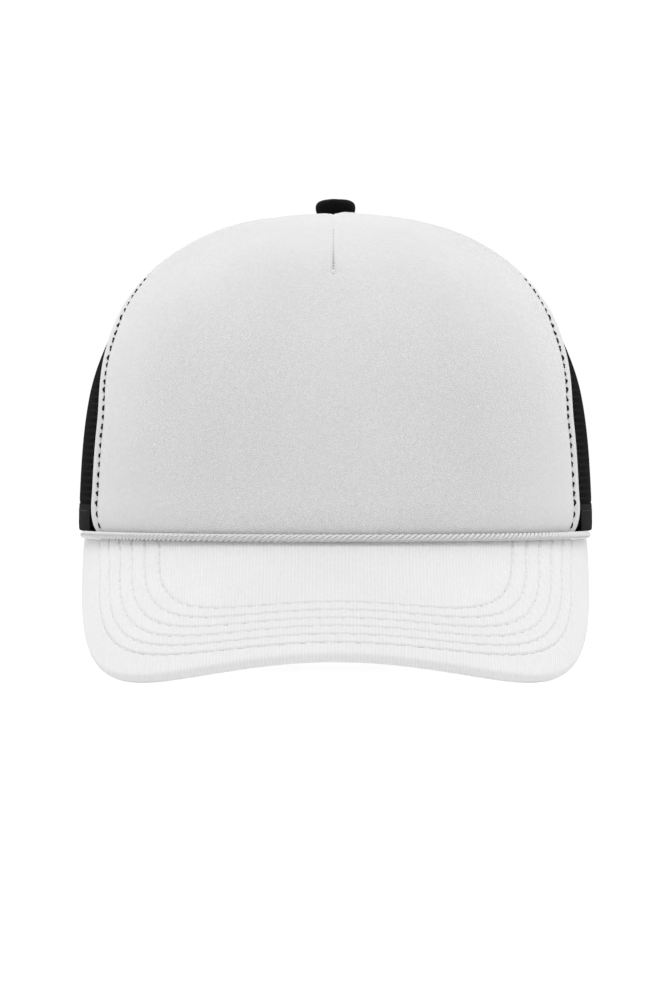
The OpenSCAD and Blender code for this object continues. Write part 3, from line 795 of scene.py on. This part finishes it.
def seam_tapes():
    share = np.linspace(-1, 1, 13)[:, None]
    for name, side, seam, foot in (
        ("front_left", 1, seam_line, BAND_H), ("front_right", -1, seam_line, BAND_H),
        ("rear_left", 1, rear_seam, BAND_H), ("rear_right", -1, rear_seam, BAND_H),
        ("center_back", 1, back_seam, ARCH_H + BINDING_W - 1),
    ):
        v = np.linspace(way_up(foot), way_up(height_at(6)), 120)[None, :]
        z = height(v) + 0 * share
        width = np.minimum(TAPE_HALF, reach(z) * math.radians(19))
        at = side * seam(z) + share * width / reach(z)
        wavy = 0.1 * np.sin(v / 2.6 + share) - 0.2 * np.abs(share) ** 6 - slack(z)
        outer = crown(at, z, -1.35 + wavy)
        inner = crown(at, z, -1.95 + wavy)
        part = slab(outer, inner, packed(share * width, v))
        piece(f"tape_{name}", part, "tape_fabric", [f"seam_tape_{name}"])


def rear_stitching():
    """Two rows of black stitches along each rear seam and along the centre back seam."""
    for name, a, foot, node in (
        ("seam_stitches_left", REAR_SEAM, BAND_H, "rear_stitching_left"),
        ("seam_stitches_right", -REAR_SEAM, BAND_H, "rear_stitching_right"),
        ("center_back_stitches", np.pi, ARCH_H + BINDING_W, "center_back_stitching"),
    ):
        z = height(np.linspace(way_up(foot), way_up(height_at(14)), 400))
        rows = [
            crown_row(a + shift / reach(z), z, -0.02 - slack(z), 3.4, 2.6, 0.27, 0.08)
            for shift in (-4.0, 4.0)
        ]
        piece(name, join(rows), "black_thread", [node])


# ---- lower edge and arch


def fold_outline(width, outside=0.95, inside=-1.85, thick=0.6):
    """Closed outline of a folded binding: [distance from the folded edge, depth]."""
    radius = 0.7
    turn = np.linspace(0, np.pi / 2, 5)
    sine = radius * np.sin(turn)
    cosine = radius * np.cos(turn)
    outer_out = [(width, outside - 0.15), (width * 0.75, outside), (width * 0.3, outside + 0.1)]
    corner_out = list(zip(radius - sine, outside - radius + cosine))
    corner_in = list(zip(radius - cosine, inside + radius - sine))
    outer_in = [(width * 0.3, inside - 0.1), (width * 0.75, inside), (width, inside + 0.15)]
    hollow_in = [(x, inside + thick) for x in (width, width * 0.5, thick)]
    hollow_out = [(x, outside - thick) for x in (thick, width * 0.5, width)]
    return np.array(outer_out + corner_out + corner_in + outer_in + hollow_in + hollow_out)


def folded(rings, outline, lengths):
    """A tube whose UV map runs along its length and round its outline."""
    return tube(rings, packed(lengths[:, None], along(outline)))


def hem_bindings():
    a = np.linspace(FRONT_SEAM + SEAM_TUCK, rear_angle(ARCH_HALF + BINDING_W - 1), 150)
    outline = fold_outline(BAND_H, outside=0.0, inside=-1.75, thick=0.3)
    ripple = 0.04 * np.sin(np.arange(len(a)) * 1.9)
    rings = crown(a[:, None], outline[:, 0], outline[:, 1] + ripple[:, None])
    part = folded(rings, outline, a * HALF_W)
    both_sides("hem_fold", part, "binding_fabric", "hem_binding")
    row = crown_row(a[2:-2], BAND_H - 2.2, -0.12, ROW_STEP, 2.4, 0.22, 0.03)
    both_sides("hem_stitches", row, "black_thread", "hem_stitching")


def arch_spot(t, grow):
    """Angle and height of a place on the arch's outline, or on one a distance outside it."""
    x = (ARCH_HALF + grow) * spow(np.cos(t), 2 / ARCH_SQUARE)
    z = (ARCH_H + grow) * np.abs(np.sin(t)) ** (2 / ARCH_SQUARE)
    return rear_angle(x, z), z


def arch_binding():
    """The arch's folded edge. Its row of stitches is returned."""
    dense = np.linspace(0, np.pi, 2001)
    lengths = along(crown(*arch_spot(dense, 0.0)))
    even = np.linspace(0, lengths[-1], 190)
    t = np.interp(even, lengths, dense)
    outline = fold_outline(BINDING_W)
    ripple = 0.08 * np.sin(np.arange(len(t)) * 2.1)
    a, z = arch_spot(t[:, None], outline[:, 0])
    rings = crown(a, z, outline[:, 1] + ripple[:, None])
    piece("arch_fold", folded(rings, outline, even), "binding_fabric", ["arch_binding"])
    return crown_row(*arch_spot(t[2:-2], BINDING_W - 1.6), 1.0, ROW_STEP, 2.4, 0.25, 0.08)


def bar_tacks(arch_row):
    """Dense upright bars of stitching over the straps' sewn ends, with the arch's own row."""
    across = np.array([-0.75, 0, 0.75])
    for side, name in ((1, "left"), (-1, "right")):
        rows = [arch_row] if side > 0 else []
        for x in (ARCH_HALF + 1.8, ARCH_HALF + 4.3):
            for z in np.arange(STRAP_Z + 1.5, STRAP_Z + STRAP_H - 1.5, 0.42):
                a = rear_angle(side * (x + across))
                rows.append(crown_row(a, z, 1.05, 1.5, 1.5, 0.23, 0.08, 0.03))
        piece(f"bar_tacks_{name}", join(rows), "black_thread", [f"strap_tack_{name}"])


# ---- sweatband

BAND_TOP = 29.4
BAND_ROW = BAND_TOP - 3.0


def sweatband_outline():
    """Closed outline of the band and the web that joins it to the crown: [depth, height]."""
    web = [(-2.3, 0.25), (-3.6, 0.3), (-4.9, 0.5), (-5.5, 1.1)]
    wall = [(-5.55, z) for z in np.linspace(2.5, BAND_TOP - 1.2, 22)]
    turn = np.linspace(0, np.pi, 6)
    fold = list(zip(-5.7 - 0.55 * np.sin(turn), BAND_TOP - 0.55 + 0.55 * np.cos(turn)))
    back = [(-6.3, z) for z in np.linspace(BAND_TOP - 1.3, 2.5, 22)]
    foot = [(-6.2, 0.7), (-5.6, -0.1), (-4.8, -0.35), (-3.6, -0.45), (-2.3, -0.4)]
    return np.array(web + wall + fold + back + foot)


def sweatband():
    end = rear_angle(ARCH_HALF + 3)
    a = np.linspace(-end, end, 260)
    outline = sweatband_outline()
    depth, z = outline.T
    dimple = 0.18 * bell(z - BAND_ROW, 0.7) * (depth < -5.9)
    wave = a[:, None] * 31 + 0.4 * np.sin(a[:, None] * 7)
    rings = crown(a[:, None], z, depth + dimple + 0.12 * np.sin(wave) * ease(z / 12))
    part = folded(rings, outline, a * HALF_W)
    piece("sweatband_cloth", part, "sweatband_fabric", ["sweatband"])
    inward = -crown_normal(a[2:-2], BAND_ROW)
    row = stitches(crown(a[2:-2], BAND_ROW, -6.3), inward, ROW_STEP, 2.4, 0.22, 0.06)
    piece("sweatband_stitches", row, "black_thread")


def band_padding():
    """Foam inside the sweatband across the forehead, thinner towards its top."""
    a = np.linspace(-1, 1, 100)[:, None] * math.radians(60)
    z = np.linspace(3, 26, 16)[None, :]
    thin = 0.3 * (1 - ease((26 - z) / 3))
    part = slab(crown(a, z, -3.55), crown(a, z, -4.45 + thin), packed(a * HALF_W, z))
    piece("band_padding", part, "padding_foam", ["sweatband_padding"])


# ---- cord

CORD_Z = -1.0
PLIES = 3
LAY = 6.3
STRAND_R = 0.56
STRAND_OUT = 0.68


def cord():
    """Twisted cord along the visor's root, whose ends tuck in beside the panel's seams."""
    visible = FRONT_SEAM + math.radians(3.0)
    end = visible + math.radians(2)
    a = np.linspace(-end, end, 1601)
    tucked = ease((np.abs(a) - visible) / (end - visible))
    flat = crown_normal(a, 0.0)
    path = packed(*rim(a), CORD_Z) + flat * (1.0 - 1.9 * tucked)[:, None]
    lengths = along(path)
    even = np.arange(0, lengths[-1], 0.32)
    middle = place(path, even, lengths)
    out = unit(place(flat, even, lengths))
    up = np.array([0.0, 0.0, 1.0])
    wheel = np.arange(10) * TURN / 10
    strands = []
    for k in range(PLIES):
        turn = even * TURN / LAY + k * TURN / PLIES
        centre = middle + STRAND_OUT * spokes(turn, out, up)
        forward = unit(np.gradient(centre, axis=0))
        side = unit(np.cross(forward, up))
        lift = np.cross(side, forward)
        rings = centre[:, None] + STRAND_R * spokes(wheel, side[:, None], lift[:, None])
        strands.append(tube(rings, packed(even[:, None], wheel * STRAND_R + even[:, None])))
    piece("twisted_cord", join(strands), "cord_yarn", ["front_cord"])


# ---- visor

# How the stitch rows differ from the edge: by so much at once, and by more per millimetre of inset
ROW_SIDE = (6.5, 0.128)
ROW_FOOT = (6.4, 0.213)
ROW_SQUARE = (-0.83, 0.017)
ROW_TAPER = (0.354, 0.0255)


def root_v(q):
    """Where the visor meets the crown, as v at each q."""
    return -FRONT_LEN * (1 - np.cos(q / VISOR_SPREAD)) * math.cos(VISOR_TILT)


def visor(q, v, depth=0.0):
    """Point and normal of the visor: q across, laid out flat, v forward from the crown's foremost
    point."""
    sine = np.sin(q / VISOR_SPREAD)
    cosine = np.cos(q / VISOR_SPREAD)
    t = v - root_v(q)
    sin_t = math.sin(VISOR_TILT)
    cos_t = math.cos(VISOR_TILT)
    at = packed(HALF_W * sine, -FRONT_LEN * cosine - t * cos_t, -VISOR_DROP - t * sin_t)
    normal = unit(packed(FRONT_LEN * sine * sin_t, -HALF_W * cosine * sin_t, HALF_W * cosine * cos_t))
    return at + np.asarray(depth)[..., None] * normal, normal


def visor_curve(inset, count):
    """Line at an inset from the visor's nose, evenly spaced from root to root, with the distance
    along it. The stitch rows stand further in from the sides than from the nose."""
    moved = ease((inset - VISOR_T / 2) / 6)

    def shift(pair):
        return moved * (pair[0] + pair[1] * inset)

    side = VISOR_HALF - inset - shift(ROW_SIDE)
    nose = VISOR_LEN - inset
    foot = VISOR_TURN + shift(ROW_FOOT)
    t = np.linspace(-np.pi / 2, np.pi / 2, 1601)
    q = side * spow(np.sin(t), 2 / (VISOR_SQUARE + shift(ROW_SQUARE)))
    taper = VISOR_TAPER + shift(ROW_TAPER)
    v = foot + (nose - foot) * np.clip(np.cos(t), 0, 1) ** (2 / taper)
    root = root_v(side * (1 + VISOR_FLARE)) - 0.5
    if root < foot:
        flank = np.linspace(root, foot, 120)[:-1]
        q = np.concatenate([np.full(119, -side), q, np.full(119, side)])
        v = np.concatenate([flank, v, flank[::-1]])
    q = q * (1 + VISOR_FLARE * ease((-15 - v) / 45))
    path = np.stack([q, v], 1)[v >= root_v(q) - 0.6]
    lengths = along(path)
    spots = place(path, np.linspace(0, lengths[-1], count), lengths)
    return spots, np.linspace(-0.5, 0.5, count) * lengths[-1]


def quilting(inset, run):
    """Relief of the visor's stitched rows at an inset and a distance along the row."""
    rows = (inset > ROW_FIRST) & (inset < ROW_LAST)
    relief = 0.08 * rows
    for k in range(ROW_COUNT):
        away = inset - ROW_FIRST - k * ROW_PITCH
        pucker = 0.85 + 0.15 * np.cos(run * TURN / 2.8 + k)
        relief = relief - 0.5 * pucker * bell(away, 0.38)
        relief = relief - 0.1 * bell(away, 1.6) * np.sin(run * TURN / 5.1 + 2.1 * k)
    return relief


def visor_line(spots, sign, out):
    """Points and normals over flat spots, a distance out to one side of the visor's middle sheet."""
    return visor(spots[:, 0], spots[:, 1], sign * out - VISOR_T / 2)


def visor_skin(sign, insets, count):
    """One cloth of the visor, from the middle of its edge in to the root."""
    outer, inner, uvs = [], [], []
    roll = VISOR_T / 2
    small = roll - FABRIC_T
    wrap = np.radians(97 if sign > 0 else 82)
    for turn in np.linspace(wrap, 0, 8)[:-1]:
        spots, _ = visor_curve(roll - roll * math.sin(turn), count)
        outer.append(visor_line(spots, sign, roll * math.cos(turn))[0])
        uvs.append(spots + [0, roll * turn])
        spots, _ = visor_curve(roll - small * math.sin(turn), count)
        inner.append(visor_line(spots, sign, small * math.cos(turn))[0])
    for inset in insets:
        spots, run = visor_curve(inset, count)
        out = roll + quilting(inset, run)
        outer.append(visor_line(spots, sign, out)[0])
        inner.append(visor_line(spots, sign, out - FABRIC_T)[0])
        uvs.append(spots)
    return slab(np.stack(outer, 1), np.stack(inner, 1), np.stack(uvs, 1))


def visor_cloths():
    for name, node, sign, step, count in (
        ("visor_top_cloth", "visor_top_fabric", 1, 0.32, 400),
        ("visor_under_cloth", "visor_bottom_fabric", -1, 0.55, 300),
    ):
        edge = np.arange(VISOR_T / 2, ROW_FIRST - 1.4, 3 * step)
        quilted = np.arange(ROW_FIRST - 1.3, ROW_LAST + 1.5, step)
        plain = np.arange(ROW_LAST + 2, VISOR_LEN, 6 * step)
        insets = np.concatenate([edge, quilted, plain, [VISOR_LEN + 0.4]])
        piece(name, visor_skin(sign, insets, count), "visor_fabric", [node])


def visor_stitching():
    rows = []
    for sign in (1, -1):
        for k in range(ROW_COUNT):
            spots, _ = visor_curve(ROW_FIRST + k * ROW_PITCH, 700)
            path, normals = visor_line(spots[12:-12], sign, VISOR_T / 2 - 0.28)
            rows.append(stitches(path, sign * normals, 2.8, 2.6, 0.2, 0.03, 0.05))
    piece("visor_stitches", join(rows), "white_thread", ["visor_stitching"])


# ---- button


def button():
    """Domed cover with gathered cloth at its waist, its underside sunk a little into the crown."""
    low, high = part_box("button_cover")
    radius = high.x / MM - 0.02
    top = (high.z - low.z) / MM
    waist = 0.42 * top
    sunk = 1.3
    t = np.linspace(-np.pi / 2, 0, 10)[:-1]
    under = np.stack([radius * (0.6 + 0.4 * np.cos(t) ** 0.9), (waist + sunk) * (1 + np.sin(t)) - sunk])
    t = np.linspace(0, np.pi / 2, 26)[:-1]
    over = np.stack([radius * np.cos(t) ** 0.62, waist + (top - waist) * np.sin(t) ** 0.85])
    profile = np.concatenate([[[radius * 0.55], [-1.1]], under, over, [[0.35], [top]]], 1)
    around = np.arange(96) * TURN / 96
    r, h = profile[..., None] + 0 * around
    gather = ease(1 - h / 3.2)
    r = r * (1 + 0.014 * gather * np.sin(around * 17 + 0.6 * np.sin(3 * around)))
    h = h + 0.05 * np.sin(around * 3 + 1) * (1 - gather)
    x = r * np.cos(around)
    y = r * np.sin(around)
    part = tube(packed(x, y, BUTTON_Z + h), packed(x, y + 0.8 * h))
    piece("button_cloth", part, "button_fabric", ["button_cover"])


# ---- snap closure

# Angles of the holes, and of the pegs, and of a strap's tip, from the middle of the back
STRAP_SPOTS = (np.arange(STRAP_COUNT) - (STRAP_COUNT - 1) / 2) * STRAP_STEP
STRAP_TIP = STRAP_SPOTS[-1] + STRAP_END
# Rims of a strap and of its holes: distance in from the edge, and share of the full thickness
STRAP_BEVEL = [(0.0, 0.6), (0.2, 1.0), (0.9, 1.0), (1.15, 0.55)]
HOLE_BEVEL = [(0.0, 0.6), (0.15, 1.0), (0.6, 1.0), (0.85, 0.55)]
FIELD = 0.55
# Half a peg's outline: radius, and height over the strap
PEG_PROFILE = [
    (2.05, -0.1), (1.75, 0.25), (1.6, 0.6), (1.6, 1.0), (1.95, 1.35), (1.98, 1.6), (1.8, 1.9),
    (1.35, 2.1), (0.7, 2.2), (0.1, 2.22),
]


def joint(name):
    found = next(j for j in frame["joints"] if j["name"] == name)
    return np.array(found["pos_m"]) / MM, np.array(found["axis"])


def strap_path(radius, side, depth):
    """Middle line of a strap seen from above, from its tip to its sewn end, in even steps that
    smooth its bend: distances, points and outward directions."""
    middle = radius + STRAP_T / 2
    pivot, _ = joint("hole_strap_flex" if side > 0 else "peg_strap_flex")
    bend = math.atan2(abs(pivot[0]), pivot[1] - STRAP_CY)
    turn = np.linspace(-STRAP_TIP, bend, 400)
    arc = np.stack([middle * np.sin(turn), STRAP_CY + middle * np.cos(turn)], 1)
    a = rear_angle(np.linspace(abs(pivot[0]) + 3.0, ARCH_HALF + 11, 60))
    tab = crown(a, 0.0, -depth - STRAP_T / 2)[:, :2]
    path = np.concatenate([arc, tab])
    lengths = along(path)
    path = place(path, np.linspace(0, lengths[-1], 500), lengths)
    smooth = np.ones(15) / 15
    path[7:-7] = np.stack([np.convolve(path[:, k], smooth, "valid") for k in range(2)], 1)
    ahead = unit(np.gradient(path, axis=0))
    return along(path), path, ahead[:, ::-1] * [-1, 1] * np.sign(ahead[0, 0])


def circle(centre, radius):
    turn = np.arange(32) * TURN / 32
    return np.stack([centre + radius * np.cos(turn), radius * np.sin(turn)], 1)


def strap_outline(length, inset):
    """Flat outline of a strap with a rounded tip at 0, drawn in by inset."""
    corner = 5.0
    half = STRAP_H / 2
    turn = np.linspace(np.pi / 2, np.pi, 9)
    r = corner - inset
    tip = np.stack([corner + r * np.cos(turn), half - corner + r * np.sin(turn)], 1)
    end = length - inset
    edge = np.arange(end - 2, corner, -2.0)
    upper = np.concatenate([np.stack([edge, np.full(len(edge), half - inset)], 1), tip])
    cap = np.stack([np.full(7, end), np.linspace(-half + inset, half - inset, 7)], 1)
    return np.concatenate([cap, upper, upper[::-1] * [1, -1]])


def inside_of(points, loop):
    """True for points inside a closed loop."""
    inside = np.zeros(len(points), bool)
    x, y = points.T
    for (x0, y0), (x1, y1) in zip(loop, np.roll(loop, -1, 0)):
        crosses = (y0 > y) != (y1 > y)
        with np.errstate(divide="ignore", invalid="ignore"):
            inside ^= crosses & (x < x0 + (y - y0) * (x1 - x0) / (y1 - y0))
    return inside


def outside_holes(points, holes, radius):
    """True for points further than a radius from every hole's centre."""
    clear = np.ones(len(points), bool)
    for hole in holes:
        clear &= np.hypot(points[:, 0] - hole, points[:, 1]) > radius
    return clear


def strap_plate(length, holes):
    """Flat triangles of a strap with its holes: points, the height share of each, and faces."""
    loops = [(strap_outline(length, inset), lift) for inset, lift in STRAP_BEVEL]
    loops += [(circle(hole, HOLE_R + out), lift) for hole in holes for out, lift in HOLE_BEVEL]
    spots = np.meshgrid(np.arange(2, length - 2, 1.7), np.arange(-6.5, 6.6, 1.6), indexing="ij")
    fill = np.stack(spots, -1).reshape(-1, 2)
    clear = inside_of(fill, strap_outline(length, 1.6)) & outside_holes(fill, holes, HOLE_R + 1.2)
    fill = fill[clear]
    edges = []
    for loop, _ in loops:
        index = np.arange(len(loop)) + len(edges)
        edges += list(zip(index.tolist(), np.roll(index, -1).tolist()))
    points = np.concatenate([loop for loop, _ in loops] + [fill])
    lifts = [lift for loop, lift in loops for _ in loop] + [FIELD] * len(fill)
    found = delaunay_2d_cdt([tuple(p) for p in points], edges, [], 0, 1e-5)
    flat = np.array([tuple(p) for p in found[0]])
    lift = np.array([lifts[origin[0]] if origin else FIELD for origin in found[3]])
    triangles = np.array([list(face) for face in found[2]])
    centre = flat[triangles].mean(1)
    good = inside_of(centre, loops[0][0]) & outside_holes(centre, holes, HOLE_R * 0.99)
    return flat, lift, triangles[good]


def strap_part(radius, side, depth, holes=()):
    lengths, path, out = strap_path(radius, side, depth)
    flat, lift, triangles = strap_plate(lengths[-1], holes)
    at = place(path, flat[:, 0], lengths)
    away = unit(place(out, flat[:, 0], lengths)) * (STRAP_T / 2 * lift)[:, None]
    z = STRAP_Z + STRAP_H / 2 + flat[:, 1:]
    skins = [np.concatenate([at + sign * away, z], 1) for sign in (1, -1)]
    count = len(flat)
    front = triangles.tolist()
    sides = dict.fromkeys((face[k], face[(k + 1) % 3]) for face in front for k in range(3))
    rims = [[b, a, a + count, b + count] for a, b in sides if (b, a) not in sides]
    faces = front + (triangles[:, ::-1] + count).tolist() + rims
    return np.concatenate(skins) * [side, 1, 1], faces, np.concatenate([flat, flat])


def peg(radius, side, turn):
    """One rounded peg, standing out of the strap."""
    around = np.arange(28) * TURN / 28
    r, h = np.array(PEG_PROFILE).T[..., None] + 0 * around
    local_x = r * np.cos(around)
    local_z = r * np.sin(around)
    out = radius + STRAP_T - 0.2 + h
    x = out * math.sin(turn) + local_x * math.cos(turn)
    y = STRAP_CY + out * math.cos(turn) - local_x * math.sin(turn)
    return tube(packed(side * x, y, STRAP_Z + STRAP_H / 2 + local_z), packed(local_x, local_z))


def strap(name, part):
    """One moulding for a strap and its tab, hung on no body, with its placement baked into its points.
    """
    nodes = [name, f"{name}_tab"]
    made = piece(f"{name}_moulding", part, "strap_plastic", nodes, body=None, sharp=40)
    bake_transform(made)


def straps():
    holes = (STRAP_TIP - STRAP_SPOTS) * (HOLE_STRAP_R + STRAP_T / 2)
    strap("hole_strap", strap_part(HOLE_STRAP_R, 1, HOLE_TAB_DEPTH, holes))
    pegs = [peg(PEG_STRAP_R, -1, -spot) for spot in STRAP_SPOTS]
    strap("peg_strap", join([strap_part(PEG_STRAP_R, -1, PEG_TAB_DEPTH)] + pegs))


# ---- care label


def care_label():
    """Blank woven label, bowed a little away from the band behind it."""
    pivot, axis = joint("care_label_flap")
    out = np.cross(axis, [0, 0, 1])
    out = out * np.sign(out @ pivot)
    s = np.linspace(-14.8, 14.8, 41)[:, None]
    h = np.linspace(0.0, 17.6, 25)[None, :]
    bow = 1.1 * (1 - (s / 15) ** 2) * ease(h / 9) + 0.15 * np.sin(s / 3.1) * ease(h / 14)
    base = pivot + s[..., None] * axis + h[..., None] * [0, 0, 1]
    outer, inner = (base + (bow + half)[..., None] * out for half in (0.16, -0.16))
    part = slab(outer, inner, packed(s, h))
    piece("blank_care_label", part, "label_fabric", ["care_label"], body="care_label")


# ---- studio


def area_light(name, azimuth, elevation, strength, size):
    """A large soft lamp a metre and a bit from the cap, aimed at it."""
    distance = 1.3
    centre = np.array([0, -0.02, 0.03])
    a = math.radians(azimuth)
    e = math.radians(elevation)
    way = np.array([math.sin(a) * math.cos(e), -math.cos(a) * math.cos(e), math.sin(e)])
    data = bpy.data.lights.new(name, "AREA")
    data.shape = "DISK"
    data.size = size
    data.energy = strength * math.pi**2 * distance**2
    lamp = bpy.data.objects.new(name, data)
    bpy.context.scene.collection.objects.link(lamp)
    lamp.location = centre + way * distance
    lamp.rotation_mode = "QUATERNION"
    lamp.rotation_quaternion = Vector(-way).to_track_quat("-Z", "Y")
    lamp.visible_camera = False


def floor_look():
    """Pale floor, brighter to the camera and clear from below."""
    look = Look("pale_floor")
    grain = look.noise(60, 2)
    seen = look.node("LightPath").outputs["Is Camera Ray"]
    inputs = {
        "Base Color": look.blend(grain, grey(0.6), grey(0.62)),
        "Roughness": 0.9,
        "Specular IOR Level": 0.1,
        "Emission Color": (1, 1, 1, 1),
        "Emission Strength": look.math("ADD", look.math("MULTIPLY", seen, 0.4), 0.35),
    }
    lit = look.node("BsdfPrincipled", inputs).outputs[0]
    clear = look.node("BsdfTransparent").outputs[0]
    below = look.node("NewGeometry").outputs["Backfacing"]
    look.show(look.node("MixShader", {0: below, 1: lit, 2: clear}))
    return look.owner


def floor():
    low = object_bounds()[0].z
    corners = [(x, y, low) for x, y in ((-4, -4), (4, -4), (4, 4), (-4, 4))]
    mesh = bpy.data.meshes.new("floor")
    mesh.from_pydata(corners, [], [(0, 1, 2, 3)])
    mesh.materials.append(floor_look())
    made = bpy.data.objects.new("floor", mesh)
    bpy.context.scene.collection.objects.link(made)
    made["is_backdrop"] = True


def studio():
    """White surroundings, brighter to the camera than as a light, and three soft lamps."""
    sky = Look("white_studio", bpy.data.worlds)
    seen = sky.node("LightPath").outputs["Is Camera Ray"]
    strength = sky.node("MapRange", {"Value": seen, "To Min": 0.62, "To Max": 1.0}).outputs[0]
    background = sky.node("Background", {"Color": (1, 1, 1, 1), "Strength": strength})
    sky.show(background, "OutputWorld")
    bpy.context.scene.world = sky.owner
    area_light("left_softbox", 140, 30, 0.33, 0.9)
    area_light("right_softbox", -140, 30, 0.33, 0.9)
    area_light("top_softbox", 0, 80, 0.42, 1.1)


def camera():
    """Eye level with the lower edge, from the front, as in the photograph."""
    data = bpy.data.cameras.new("camera")
    data.sensor_width = 36.0
    data.lens = 182.1
    data.shift_x = -0.002
    data.shift_y = -0.0474
    data.clip_end = 50
    made = bpy.data.objects.new("camera", data)
    made.location = (0, -1.7, 0.026)
    made.rotation_euler = (math.radians(90), 0, 0)
    bpy.context.scene.collection.objects.link(made)
    bpy.context.scene.camera = made


def dress(node, slot):
    """Gives a CAD node that stays its finished material."""
    part = frame["nodes"][node]
    part.data.materials.clear()
    part.data.materials.append(LOOKS[slot])


front_panel()
front_foam()
front_stitching()
mesh_panels()
seam_tapes()
rear_stitching()
hem_bindings()
bar_tacks(arch_binding())
sweatband()
band_padding()
cord()
visor_cloths()
visor_stitching()
button()
straps()
care_label()
dress("visor_board", "visor_board")
for metal_node in ("button_shell", "button_post", "button_washer"):
    dress(metal_node, "button_metal")
studio()
floor()
camera()
bpy.context.scene.view_settings.view_transform = "Standard"
